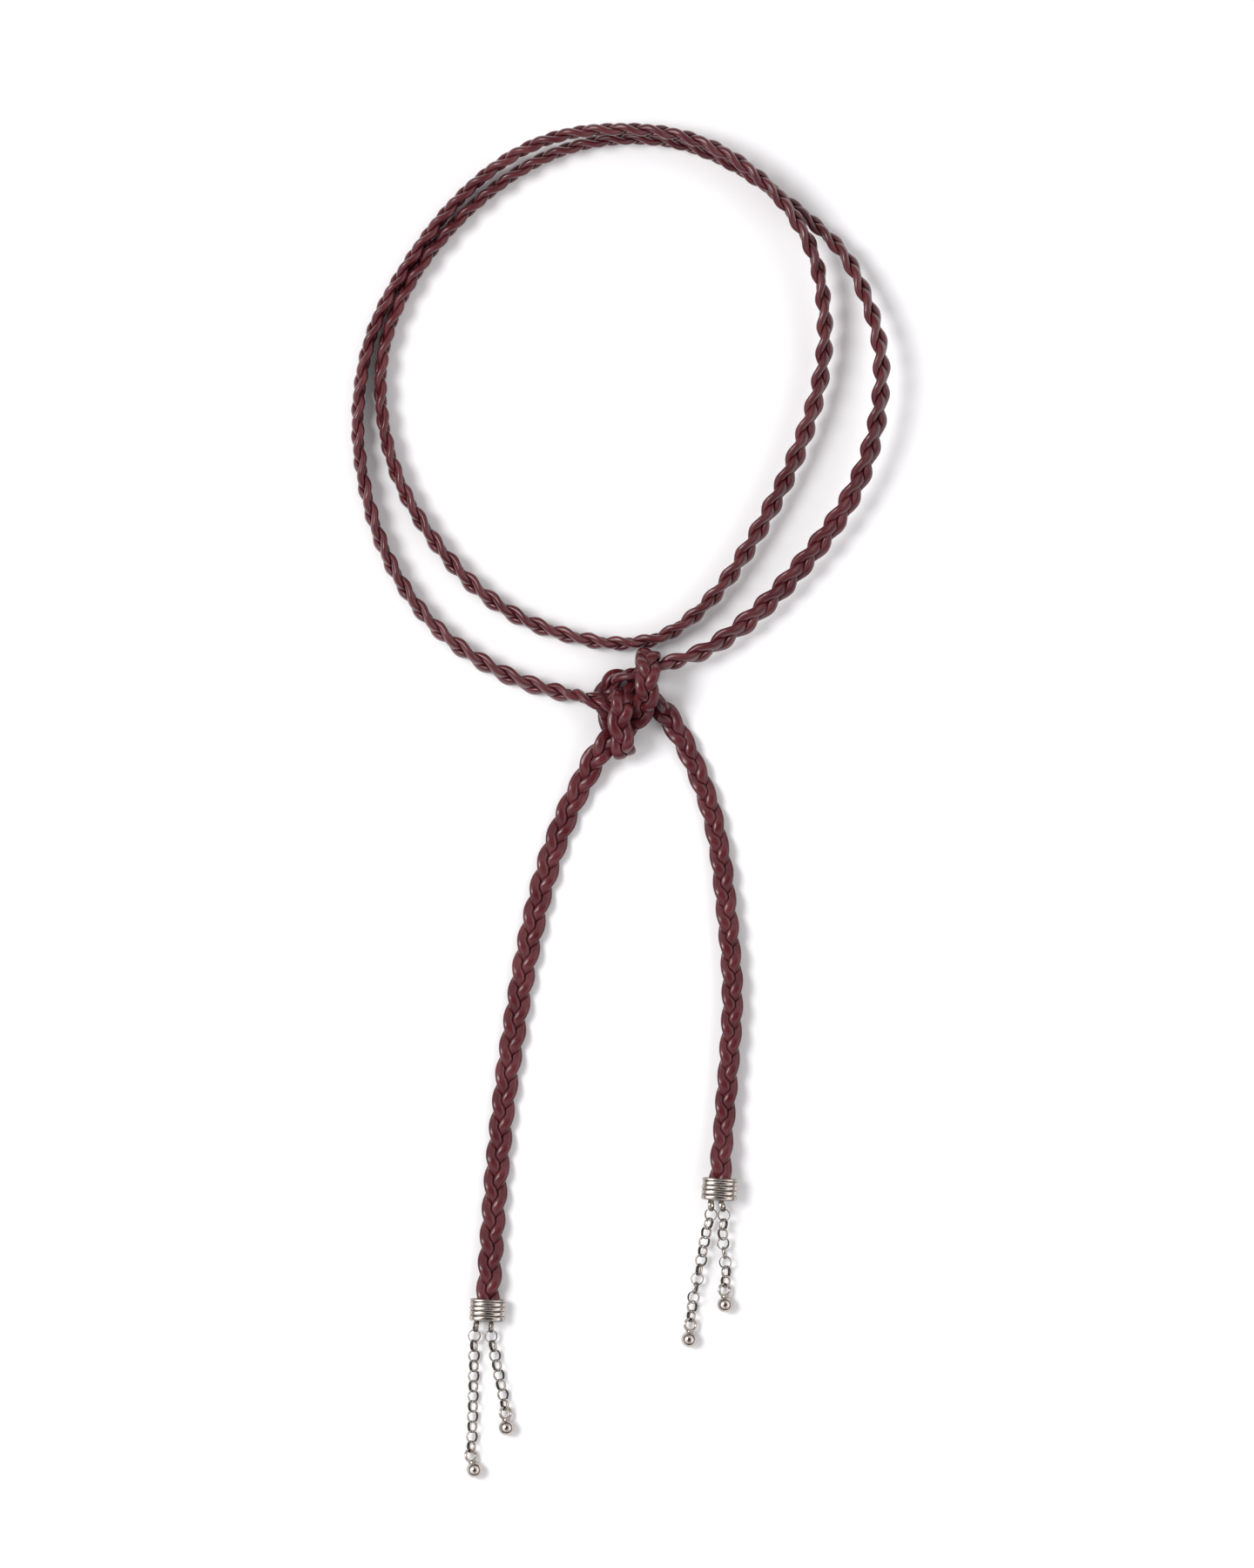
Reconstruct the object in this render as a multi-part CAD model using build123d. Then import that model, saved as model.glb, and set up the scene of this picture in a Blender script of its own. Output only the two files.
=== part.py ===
"""A long necklace plaited from three leather laces, looped twice and tied in front.

It lies flat, and both tails end in a ribbed silver cap with two short chains. Millimetres,
+Z up, +Y from the tails to the nape. The origin is the middle of the outline, on the
surface that the necklace lies on.
"""

from build123d import *

import os
from math import ceil, cos, degrees, hypot, pi, radians, sin
from typing import NamedTuple

import numpy as np

# The laces and the plait
LACE_WIDTH = 3.5
LACE_THICKNESS = 2.1
LACE_GAP = 0.56
LACES = "abc"
PLAIT_WIDTH = 7.2
TAIL_WIDTH = 6.3
TAIL_END_WIDTH = 6.8
PLAIT_THICKNESS = 3.66
PLAIT_PITCH = 23.4
LACE_SIDES = 5
SECTIONS_PER_PITCH = 8
SHORTEST_SECTION = 0.3
LEAST_TURN = 1e-6

# How finely the plait's line is followed, and how softly its roll changes
LINE_STEP = 0.1
LINE_FINENESS = 1.5
ROLL_EASING = 4.0
FLOOR_EASING = 0.06

# The ribbed end caps
CAP_FIT = 0.3
CAP_SIDE_WALL = 1.25
CAP_FACE_WALL = 1.05
CAP_LENGTH = 6.3
CAP_SEAT = 2.9
RIB_SWELL = 0.35
RIB_ROUNDING = 0.45
EYELET_SUNK = 0.3
RIGHT_CAP_RAISED = 0.4

# The round links
LINK_INNER = 1.62
LINK_WIDTH = 0.95
LINK_WALL = 0.26
LINK_EDGE = 0.12
LINK_CLEARANCE = 0.17

# The ball drops
BALL_DIAMETER = 4.5
RING_WIRE = 0.85
DROP_STEP = 2.55
RING_CLEARANCE = 0.2
SOLDER_DEPTH = 0.15
COLLAR_DIAMETER = 2.4
COLLAR_HEIGHT = 0.5
COLLAR_EDGE = 0.17

CAP_WIDTH = PLAIT_WIDTH + 2 * (CAP_FIT + CAP_SIDE_WALL)
CAP_THICKNESS = PLAIT_THICKNESS + 2 * (CAP_FIT + CAP_FACE_WALL)
CAP_LIFT = (CAP_THICKNESS / PLAIT_THICKNESS - 1) / 2
RAISED_LIFT = CAP_LIFT + RIGHT_CAP_RAISED
LINK_OUTER = LINK_INNER + LINK_WALL
LINK_REACH = (LINK_INNER**2 - (LINK_WIDTH / 2) ** 2) ** 0.5
TAUT_PITCH = LINK_REACH + ((LINK_INNER - LINK_CLEARANCE) ** 2 - (LINK_WIDTH / 2) ** 2) ** 0.5
RING_INNER = hypot(DROP_STEP - LINK_INNER, LINK_WIDTH / 2) + RING_CLEARANCE
RING_MIDDLE = RING_INNER + RING_WIRE / 2


class Stand(NamedTuple):
    """A point that the plait passes: its place, the free height under the plait in
    plait thicknesses, and the roll of the plait's face from level in degrees."""

    x: float
    y: float
    lift: float
    roll: float | None


class Turn(NamedTuple):
    """A point that a chain passes, the height under its links there, and how far its odd
    links lean in degrees."""

    x: float
    y: float
    lift: float
    lean: float


class Eyelet(NamedTuple):
    """The sideways place of an eyelet on its cap, and the height under it."""

    across: float
    lift: float


class Rib(NamedTuple):
    """A rib of the end cap, in shares of the cap's length and of the ribs' swell."""

    length: float
    swell: float


# In a fold the plait rolls as it likes
FREE = None

# From the left tail through the knot and round the outer loop
OUTER_ROUTE = [
    Stand(-37.8, -145.6, CAP_LIFT, 0),
    Stand(-37.5, -139.6, CAP_LIFT, 0),
    Stand(-36.1, -118.9, 0.07, 0),
    Stand(-33.7, -91.3, 0, 0),
    Stand(-29.6, -61.3, 0, 0),
    Stand(-24.2, -32.7, 0.02, 0),
    Stand(-15.8, -5.4, 0.05, 0),
    Stand(-8.7, 8.9, 0.65, 0),
    Stand(-5.9, 13.8, 1.2, 0),
    Stand(-3, 17, 1.28, 0),
    Stand(0.4, 19.7, 1.22, 0),
    Stand(3.7, 22.6, 1.25, 0),
    Stand(6.3, 25.6, 1.75, 0),
    Stand(7.6, 29.5, 2.9, 0),
    Stand(8, 33.7, 3.5, 0),
    Stand(8.1, 38, 3.32, 0),
    Stand(8.2, 40.9, 2.45, FREE),
    Stand(8.3, 42, 1.6, FREE),
    Stand(8.1, 40.9, 0.75, FREE),
    Stand(7.6, 38.2, 0.12, 180),
    Stand(6.3, 35.3, 0.02, 180),
    Stand(4.4, 32.4, 0.15, 178),
    Stand(2.2, 30.3, 0.96, 175),
    Stand(-0.5, 28.6, 1.6, 162),
    Stand(-3.6, 28.2, 1.55, 144),
    Stand(-6.9, 29, 1.35, 114),
    Stand(-11, 29.9, 0.7, 80),
    Stand(-16.7, 31, 0.15, 67),
    Stand(-28.9, 34.7, 0, 64),
    Stand(-40.4, 40.5, 0, 68),
    Stand(-50.8, 48.1, 0, 72),
    Stand(-59.3, 57.7, 0, 75),
    Stand(-66.6, 70.2, 0, 76),
    Stand(-71.9, 85.4, 0, 78),
    Stand(-74.8, 102.4, 0, 82),
    Stand(-74.2, 119.9, 0, 84),
    Stand(-69.9, 136.7, 0, 84),
    Stand(-61.9, 151.9, 0.05, 84),
    Stand(-50.8, 167.2, 0.2, 84),
    Stand(-35.6, 181.4, 0.8, 84),
    Stand(-18.5, 189.7, 1.9, 84),
    Stand(-1, 192, 2.1, 84),
    Stand(16.7, 190.4, 2.1, 82),
    Stand(33.5, 183.2, 2.1, 78),
    Stand(47.2, 170.6, 2.15, 74),
    Stand(55.7, 155.6, 1.9, 72),
    Stand(58.8, 136.9, 1.3, 68),
    Stand(57.1, 118.5, 1.05, 62),
    Stand(51, 99.9, 0.9, 58),
    Stand(46.5, 89.9, 0.8, 58),
    Stand(35.8, 70.7, 0.6, 64),
    Stand(23.3, 54.9, 0.45, 74),
    Stand(11.4, 46.8, 0.35, 80),
    Stand(3.3, 45.3, 0.3, 80),
]

# Round the inner loop, through the knot and down the right tail
INNER_ROUTE = [
    Stand(-3.7, 45.3, 0.25, 78),
    Stand(-16.9, 48, 0.1, 74),
    Stand(-28.9, 52.7, 0, 70),
    Stand(-41.8, 61.8, 0, 70),
    Stand(-54.1, 76, 0, 74),
    Stand(-63.5, 92.8, 0, 78),
    Stand(-67.8, 109.4, 0, 82),
    Stand(-68, 126.4, 0, 84),
    Stand(-62.7, 143.4, 0, 84),
    Stand(-52.5, 159.3, 0, 84),
    Stand(-37.8, 174.1, 0, 84),
    Stand(-19.9, 185.1, 0, 84),
    Stand(-1.9, 189.6, 0, 84),
    Stand(16.2, 188.6, 0, 84),
    Stand(32.7, 182.1, 0, 82),
    Stand(48.5, 171.4, 0.03, 78),
    Stand(61.8, 159.6, 0.5, 74),
    Stand(67, 152.1, 0.9, 72),
    Stand(73.4, 135.5, 1.7, 68),
    Stand(74.9, 119.4, 2.1, 62),
    Stand(72.1, 101.7, 1.9, 52),
    Stand(64.3, 83.7, 1.5, 42),
    Stand(51.7, 66.8, 1.2, 40),
    Stand(38.7, 53.2, 1.05, 46),
    Stand(26, 43.9, 1, 60),
    Stand(21.3, 41.8, 1.05, 66),
    Stand(17.3, 40.5, 1.08, 70),
    Stand(14.2, 39.5, 1.12, 72),
    Stand(11.4, 38.4, 1.06, 76),
    Stand(8.9, 37.4, 1.04, 80),
    Stand(6.4, 36.9, 1.1, 82),
    Stand(4.2, 36.4, 1.12, 90),
    Stand(1.9, 35.9, 1, 104),
    Stand(-0.6, 35.1, 0.55, 120),
    Stand(-2.9, 33.2, 0.1, 152),
    Stand(-4.1, 30.6, 0, 170),
    Stand(-4, 27.9, 0, 174),
    Stand(-3.3, 25, 0, 180),
    Stand(-2, 22, 0, 180),
    Stand(-1.1, 19.1, 0, 180),
    Stand(0.1, 16.6, 0.06, 180),
    Stand(0.9, 14.6, 0.5, FREE),
    Stand(1.2, 13.8, 1.15, FREE),
    Stand(1.2, 14.8, 1.8, FREE),
    Stand(0.8, 17.7, 2.35, 0),
    Stand(0.2, 20.9, 2.5, 0),
    Stand(0.3, 24.7, 2.85, 0),
    Stand(0.5, 27.6, 3, -4),
    Stand(1.3, 29.3, 2.6, -4),
    Stand(3.1, 31.1, 1.55, 22),
    Stand(6.4, 31.4, 1.02, 70),
    Stand(8.9, 30.3, 0.84, 102),
    Stand(11, 28.2, 0.62, 132),
    Stand(12.9, 25.6, 0.35, 158),
    Stand(14.9, 22.7, 0.08, 174),
    Stand(17.2, 19.2, 0, 180),
    Stand(19.6, 14.5, 0, 180),
    Stand(25, 1.4, 0, 180),
    Stand(28.8, -14.6, 0.15, 180),
    Stand(30.8, -32.1, 0.35, 180),
    Stand(32.4, -53.9, 0.5, 180),
    Stand(31.4, -75.1, 0.52, 180),
    Stand(29.8, -95.1, 0.6, 180),
    Stand(29.2, -103.1, RAISED_LIFT, 180),
    Stand(28.7, -110.9, RAISED_LIFT, 180),
]

# Widths of the plait along the right tail, at stands counted from its end
TAIL_WIDTHS = {-12: PLAIT_WIDTH, -9: TAIL_WIDTH, -3: TAIL_WIDTH, -1: TAIL_END_WIDTH}

# From the eyelet on the cap to the ring of the ball drop
CHAIN_ROUTES = {
    "left_long_chain": [
        Turn(-41.6, -153.3, 0.3, 14),
        Turn(-41.7, -159.1, 0, 36),
        Turn(-42, -173.1, 0, 41),
        Turn(-42.2, -180.1, 0, 40),
        Turn(-42.6, -187.7, 0, 30),
    ],
    "left_short_chain": [
        Turn(-36.8, -153.3, 0.3, 12),
        Turn(-35.8, -158.4, 0, 34),
        Turn(-34.6, -164.3, 0, 42),
        Turn(-33.4, -170.1, 0, 40),
        Turn(-32.6, -175.5, 0, 20),
    ],
    "right_long_chain": [
        Turn(26.3, -118.3, 1.7, -16),
        Turn(24.9, -123.7, 1.3, -48),
        Turn(23.5, -131.4, 0.6, -58),
        Turn(22.1, -138.1, 0.1, -90),
        Turn(20.8, -145.6, 0, -138),
        Turn(20.4, -150.2, 0, -165),
    ],
    "right_short_chain": [
        Turn(30, -118.5, 1.7, -14),
        Turn(29.7, -123.5, 1.2, -42),
        Turn(30, -129.1, 0.5, -84),
        Turn(30.6, -134.6, 0, -122),
        Turn(30.2, -140.2, 0, -160),
    ],
}

# The eyelet of each chain on its cap, and the lean of each drop from straight down
EYELETS = {
    "left_long_chain": Eyelet(-3.1, 0.6),
    "left_short_chain": Eyelet(1.2, 0.6),
    "right_long_chain": Eyelet(-2.1, 1.9),
    "right_short_chain": Eyelet(1.1, 1.9),
}
DROP_LEANS = {
    "left_long_chain": 14.7,
    "left_short_chain": 3.7,
    "right_long_chain": -5.0,
    "right_short_chain": 2.2,
}

CAP_RIBS = [
    Rib(0.13, 1.0),
    Rib(0.20, 0.7),
    Rib(0.21, 0.9),
    Rib(0.22, 0.8),
    Rib(0.24, 1.0),
]


def half_height(roll: float | None) -> float:
    """Half the height of the plait's section when its face is rolled from level."""
    angle = radians(roll or 0)
    return hypot(PLAIT_WIDTH / 2 * sin(angle), PLAIT_THICKNESS / 2 * cos(angle))


def smooth(knots: np.ndarray, values: np.ndarray, at: np.ndarray) -> np.ndarray:
    """A natural cubic through the values at the knots, read at the wanted places."""
    count = len(knots)
    gaps = np.diff(knots)
    matrix = np.eye(count)
    right = np.zeros_like(values)
    for i in range(1, count - 1):
        matrix[i, i - 1 : i + 2] = gaps[i - 1], 2 * (gaps[i - 1] + gaps[i]), gaps[i]
        slopes = (values[i + 1] - values[i]) / gaps[i] - (values[i] - values[i - 1]) / gaps[i - 1]
        right[i] = 6 * slopes
    bends = np.linalg.solve(matrix, right)
    span = np.clip(np.searchsorted(knots, at, side="right") - 1, 0, count - 2)
    gap = gaps[span][:, None]
    a = (knots[span + 1] - at)[:, None] / gap
    b = 1 - a
    curve = (a**3 - a) * bends[span] + (b**3 - b) * bends[span + 1]
    return a * values[span] + b * values[span + 1] + curve * gap**2 / 6


def even_line(points: np.ndarray, step: float) -> tuple[np.ndarray, np.ndarray, np.ndarray]:
    """An evenly stepped smooth line through the points.

    Returns the arc length at each step, the line there and the arc length at each point.
    """
    runs = np.linalg.norm(np.diff(points, axis=0), axis=1)
    knots = np.concatenate([[0], np.cumsum(runs**0.5)])
    fine = np.linspace(0, knots[-1], int(runs.sum() / step * LINE_FINENESS))
    dense = smooth(knots, points, fine)
    length = np.concatenate([[0], np.cumsum(np.linalg.norm(np.diff(dense, axis=0), axis=1))])
    steps = int(round(length[-1] / step))
    at = np.linspace(0, length[-1], steps + 1)
    line = np.stack([np.interp(at, length, dense[:, i]) for i in range(3)], axis=1)
    return at, line, np.interp(knots, fine, length)


def upward(direction: np.ndarray) -> np.ndarray:
    """The unit vector square to a direction that points most upward."""
    up = np.array([0, 0, 1.0]) - direction[2] * direction
    return up / np.linalg.norm(up)


def eased(values: np.ndarray, width: int) -> np.ndarray:
    """Values along the line, averaged over a soft window of so many steps."""
    window = np.hanning(width + 2)[1:-1]
    padded = np.concatenate([np.full(width, values[0]), values, np.full(width, values[-1])])
    return np.convolve(padded, window / window.sum(), mode="same")[width:-width]


def plait_frames() -> tuple[np.ndarray, ...]:
    """The plait's line with its tangents, sideways and face directions.

    Returns the arc length, line, tangent, side, face and the arc length of each stand.
    """
    stands = OUTER_ROUTE + INNER_ROUTE
    points = np.array(
        [
            (s.x, s.y, s.lift * PLAIT_THICKNESS + half_height(s.roll) + FLOOR_EASING)
            for s in stands
        ]
    )
    at, line, reached = even_line(points, LINE_STEP)
    tangent = np.gradient(line, axis=0)
    tangent /= np.linalg.norm(tangent, axis=1)[:, None]
    steady = np.zeros_like(tangent)
    normal = np.array([0, 0, 1.0])
    for i, direction in enumerate(tangent):
        normal = normal - (normal @ direction) * direction
        normal /= np.linalg.norm(normal)
        steady[i] = normal
    side = np.cross(tangent, steady)
    places, turns = [], []
    for stand, place in zip(stands, reached):
        if stand.roll is FREE:
            continue
        i = int(round(place / at[-1] * (len(at) - 1)))
        up = upward(tangent[i])
        angle = radians(stand.roll)
        face = cos(angle) * up + sin(angle) * np.cross(up, tangent[i])
        turn = degrees(np.arctan2(face @ side[i], face @ steady[i]))
        if turns:
            turn += 360 * round((turns[-1] - turn) / 360)
        places.append(place)
        turns.append(turn)
    turn = eased(np.interp(at, places, turns), int(ROLL_EASING / LINE_STEP))
    angle = np.radians(turn)[:, None]
    face = np.cos(angle) * steady + np.sin(angle) * side
    return at, line, tangent, np.cross(face, tangent), face, reached


def plait_widths(at: np.ndarray, reached: np.ndarray) -> np.ndarray:
    """The plait's width at each step; the right tail is drawn tighter than the rest."""
    places = [reached[stand] for stand in TAIL_WIDTHS]
    return np.interp(at, places, list(TAIL_WIDTHS.values()))


def lace_sections(lace: int, frames: tuple[np.ndarray, ...], picks: np.ndarray) -> np.ndarray:
    """Sections of one lace, pressed flat where it lies against the other two.

    A lace sways from side to side once in a pitch, and crosses over and under twice.
    Lengths across the section are in shares of the lace's half width and half thickness.
    """
    at, line, _, side, face, reached = frames
    half_width, half_thickness = LACE_WIDTH / 2, LACE_THICKNESS / 2
    sway = (plait_widths(at, reached)[picks] - LACE_WIDTH) / LACE_WIDTH
    rise = (PLAIT_THICKNESS - LACE_THICKNESS) / LACE_THICKNESS
    gap = LACE_GAP / LACE_THICKNESS
    angles = [2 * pi * (at[picks] / PLAIT_PITCH + k / 3) for k in range(3)]
    middles = [np.stack([sway * np.sin(a), rise * np.sin(2 * a)], axis=1) for a in angles]
    around = np.linspace(0, 2 * pi, LACE_SIDES, endpoint=False)
    spokes = np.stack([np.cos(around), np.sin(around)], axis=1)
    reach = np.ones((len(picks), LACE_SIDES))
    for other in range(3):
        if other == lace:
            continue
        offset = middles[other] - middles[lace]
        apart = np.linalg.norm(offset, axis=1)[:, None]
        toward = np.maximum(offset @ spokes.T, LEAST_TURN)
        reach = np.minimum(reach, (apart**2 / 2 - gap * apart) / toward)
    across = (middles[lace][:, :1] + reach * spokes[:, 0]) * half_width
    through = (middles[lace][:, 1:] + reach * spokes[:, 1]) * half_thickness
    return (
        line[picks][:, None]
        + across[..., None] * side[picks][:, None]
        + through[..., None] * face[picks][:, None]
    )


def flat_face(corners: list[np.ndarray]) -> Face:
    """A flat face with the given corners."""
    return Face(Wire.make_polygon([Vector(*corner) for corner in corners], close=True))


def faceted(sections: np.ndarray) -> Solid:
    """A closed solid with flat facets from one section to the next."""
    faces = []
    for near, far in zip(sections[:-1], sections[1:]):
        for i in range(LACE_SIDES):
            j = (i + 1) % LACE_SIDES
            faces.append(flat_face([near[i], near[j], far[j]]))
            faces.append(flat_face([near[i], far[j], far[i]]))
    for end in (sections[0], sections[-1]):
        faces += [flat_face([end[0], end[i], end[i + 1]]) for i in range(1, LACE_SIDES - 1)]
    return Solid(Shell(faces))


def place(origin: np.ndarray, along: np.ndarray, roll: float) -> Plane:
    """A plane at the origin whose X runs along a line and whose Z leans from upward."""
    up = upward(along)
    angle = radians(roll)
    normal = cos(angle) * up + sin(angle) * np.cross(up, along)
    return Plane(origin=Vector(*origin), x_dir=Vector(*along), z_dir=Vector(*normal))


def link() -> Part:
    """A round link of flat wire with a domed outside, its axis along Z."""
    half = LINK_WIDTH / 2
    shoulder = LINK_INNER + LINK_EDGE
    radii = [shoulder, LINK_INNER, LINK_INNER, shoulder]
    inside = Polyline([(r, 0, z) for r, z in zip(radii, [-half, -half, half, half])])
    dome = ThreePointArc((shoulder, 0, half), (LINK_OUTER, 0, 0), (shoulder, 0, -half))
    return revolve(make_face(inside.edges() + dome.edges()), Axis.Z)


def cap_body() -> Part:
    """A flat oval ribbed sleeve with a closed end, its mouth at the origin, length on Z."""
    core = Ellipse(CAP_WIDTH / 2 - RIB_SWELL, CAP_THICKNESS / 2 - RIB_SWELL)
    body = extrude(core, CAP_LENGTH)
    start = 0.0
    for rib in CAP_RIBS:
        length = rib.length * CAP_LENGTH
        sunk = RIB_SWELL * (1 - rib.swell)
        band = extrude(Ellipse(CAP_WIDTH / 2 - sunk, CAP_THICKNESS / 2 - sunk), length)
        body += Pos(0, 0, start) * fillet(band.edges(), RIB_ROUNDING * length)
        start += length
    pocket = SlotOverall(PLAIT_WIDTH + 2 * CAP_FIT, PLAIT_THICKNESS + 2 * CAP_FIT)
    return body - extrude(pocket, CAP_SEAT + CAP_FIT)


def end_cap(plane: Plane, chains: list[str], lines: dict[str, tuple]) -> Part:
    """One end cap on the plait's end, with the eyelet of each of its chains."""
    cap = plane.offset(-CAP_SEAT) * cap_body()
    for name in chains:
        origin, along, lean = (values[0] for values in lines[name])
        cap += place(origin, along, lean + 90) * link()
    return cap


def chain_line(name: str, plane: Plane) -> tuple[np.ndarray, np.ndarray, np.ndarray]:
    """The places, directions and leans of a chain's eyelet, links and drop ring."""
    reach = CAP_LENGTH - CAP_SEAT + LINK_OUTER - EYELET_SUNK
    eyelet = plane.from_local_coords(Vector(EYELETS[name].across, 0, reach))
    route = CHAIN_ROUTES[name]
    start = Turn(eyelet.X, eyelet.Y, EYELETS[name].lift, route[0].lean)
    points = np.array([(turn.x, turn.y, LINK_OUTER + turn.lift) for turn in [start] + route])
    at, line, reached = even_line(points, LINE_STEP / 2)
    count = ceil((at[-1] - DROP_STEP) / TAUT_PITCH)
    spacing = (at[-1] - DROP_STEP) / count
    stops = np.append(np.arange(count + 1) * spacing, at[-1])
    line[:, 2] = np.maximum(line[:, 2], LINK_OUTER)
    tangent = np.gradient(line, at, axis=0)
    tangent /= np.linalg.norm(tangent, axis=1)[:, None]
    leans = np.interp(stops, reached, [turn.lean for turn in [start] + route])
    picks = np.clip(np.searchsorted(at, stops), 0, len(at) - 1)
    return line[picks], tangent[picks], leans


def ball_drop(ring: np.ndarray, lean: float, roll: float) -> Part:
    """A ball that rests on the surface, with a ring soldered on it by a low collar."""
    reach = BALL_DIAMETER / 2 + RING_MIDDLE + RING_WIRE / 2 - SOLDER_DEPTH
    fall = ring[2] - BALL_DIAMETER / 2
    level = (reach**2 - fall**2) ** 0.5
    angle = radians(lean)
    ball = ring + np.array([level * sin(angle), -level * cos(angle), -fall])
    along = (ring - ball) / reach
    plane = place(ball, along, -roll)
    collar_reach = BALL_DIAMETER / 2 + COLLAR_HEIGHT / 2
    collar = Rot(0, 90, 0) * Cylinder(
        COLLAR_DIAMETER / 2, collar_reach, align=(Align.CENTER, Align.CENTER, Align.MIN)
    )
    body = Sphere(BALL_DIAMETER / 2) + fillet(collar.edges().group_by(Axis.X)[-1], COLLAR_EDGE)
    return plane * (body + Pos(reach, 0, 0) * Torus(RING_MIDDLE, RING_WIRE / 2))


def save(shape: Part | Solid, name: str) -> None:
    """Write one node's solid."""
    export_step(shape, f"parts/{name}.step")


def section_places(lace: int, start: float, end: float) -> np.ndarray:
    """Even places for a lace's sections, set so that none falls on a crossing."""
    step = PLAIT_PITCH / SECTIONS_PER_PITCH
    shift = -lace / 3 * PLAIT_PITCH
    first = ceil((start - shift) / step + SHORTEST_SECTION)
    last = ceil((end - shift) / step - SHORTEST_SECTION)
    return np.concatenate([[start], shift + step * np.arange(first, last), [end]])


def save_laces(frames: tuple[np.ndarray, ...]) -> None:
    """Write the two halves of each lace, which meet at the foot of the inner loop."""
    at, reached = frames[0], frames[5]
    middle = reached[len(OUTER_ROUTE) - 1]
    spans = {"outer": (0, middle), "inner": (middle, at[-1])}
    for half, (start, end) in spans.items():
        for k, letter in enumerate(LACES):
            picks = np.searchsorted(at, section_places(k, start, end)).clip(0, len(at) - 1)
            save(faceted(lace_sections(k, frames, picks)), f"plait_lace_{letter}_{half}")


def end_plane(origin: np.ndarray, outward: np.ndarray) -> Plane:
    """A plane across the plait's end, its Z pointing out of the plait and its Y up."""
    level = np.array([outward[0], outward[1], 0])
    level /= np.linalg.norm(level)
    across = np.cross(np.array([0, 0, 1.0]), level)
    return Plane(origin=Vector(*origin), x_dir=Vector(*across), z_dir=Vector(*level))


def main() -> None:
    """Build every piece and write it."""
    os.makedirs("parts", exist_ok=True)
    frames = plait_frames()
    line, tangent = frames[1], frames[2]
    save_laces(frames)
    ends = {
        "left": end_plane(line[0], -tangent[0]),
        "right": end_plane(line[-1], tangent[-1]),
    }
    for end, plane in ends.items():
        names = [name for name in CHAIN_ROUTES if name.startswith(end)]
        lines = {name: chain_line(name, plane) for name in names}
        save(end_cap(plane, names, lines), f"{end}_end_cap")
        for name, (places, along, leans) in lines.items():
            rolls = leans + 90 * (1 - np.arange(len(leans)) % 2)
            for i in range(1, len(places) - 1):
                save(place(places[i], along[i], rolls[i]) * link(), f"{name}_link_{i:02d}")
            save(ball_drop(places[-1], DROP_LEANS[name], rolls[-1]), f"{name}_ball_drop")
    print("plait length", round(float(frames[0][-1]), 1))


if __name__ == "__main__":
    main()
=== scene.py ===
import logging
from dataclasses import dataclass
from enum import Enum
from math import ceil, cos, degrees, hypot, pi, radians, sin, tau
from typing import NamedTuple

import bpy
import numpy as np
from bpy.types import Material, NodeSocket, World
from mathutils import Matrix, Vector
from numpy import ndarray


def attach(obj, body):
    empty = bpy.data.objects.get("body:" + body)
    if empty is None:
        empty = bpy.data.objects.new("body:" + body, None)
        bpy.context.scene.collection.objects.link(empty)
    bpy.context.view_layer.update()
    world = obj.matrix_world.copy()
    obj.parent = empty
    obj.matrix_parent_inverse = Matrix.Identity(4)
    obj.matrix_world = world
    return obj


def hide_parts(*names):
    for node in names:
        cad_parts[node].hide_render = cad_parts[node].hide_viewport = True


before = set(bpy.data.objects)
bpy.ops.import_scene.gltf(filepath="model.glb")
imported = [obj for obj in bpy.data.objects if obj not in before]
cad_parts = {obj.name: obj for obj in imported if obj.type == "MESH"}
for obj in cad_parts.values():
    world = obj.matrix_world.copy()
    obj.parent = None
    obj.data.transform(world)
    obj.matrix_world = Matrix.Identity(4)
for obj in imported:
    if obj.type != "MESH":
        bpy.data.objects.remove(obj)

log = logging.getLogger("necklace")

MM = 0.001
UP = np.array([0.0, 0.0, 1.0])
LACES = "abc"

# A number that keeps a division from failing, how much finer a line is while it is made
# even, and a grain's shift along each coordinate
TINY = 1e-6
FINER = 1.5
SEED_SPREAD = (1.0, 0.7, 1.3)


class Stand(NamedTuple):
    """A point that the plait passes.

    Its place is in millimetres, the free height under the plait is in plait thicknesses,
    and the roll of the plait's face from level is in degrees.
    """

    x: float
    y: float
    lift: float
    roll: float | None


class Turn(NamedTuple):
    """A point that a chain passes.

    Its place and the height under its links are in millimetres, and its odd links lean so
    many degrees.
    """

    x: float
    y: float
    lift: float
    lean: float


class Eyelet(NamedTuple):
    """The sideways place of an eyelet on its cap and the height under it, in millimetres."""

    across: float
    lift: float


class ChainRoute(NamedTuple):
    """A chain's eyelet, its turns, and how many degrees its drop leans from straight down."""

    eyelet: Eyelet
    drop_lean: float
    turns: list[Turn]


class Rib(NamedTuple):
    """A rib of the end cap, in shares of the cap's length and of the ribs' swell."""

    length: float
    swell: float


class EndRing(NamedTuple):
    """A ring of the cap's closed end: its share of the last rib, and how far out it stands."""

    share: float
    out: float


class Glow(NamedTuple):
    """How light the room is at a height, from 0 straight below to 1 overhead."""

    height: float
    light: float


class Tone(NamedTuple):
    """A linear colour."""

    red: float
    green: float
    blue: float


class Waver(NamedTuple):
    """A slow seeded wave along a lace: its size, its seed and its waves' lengths in metres."""

    size: float
    seed: int
    lengths: tuple[float, ...]


class Grain(NamedTuple):
    """Noise that a finish reads.

    It has so many spots to the unit, a factor on each coordinate, a number of finer layers,
    the share of each of them, and a shift that gives it a pattern of its own.
    """

    scale: float
    stretch: tuple[float, float, float] = (1.0, 1.0, 1.0)
    detail: float = 4.0
    rough: float = 0.55
    seed: float = 0.0


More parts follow.
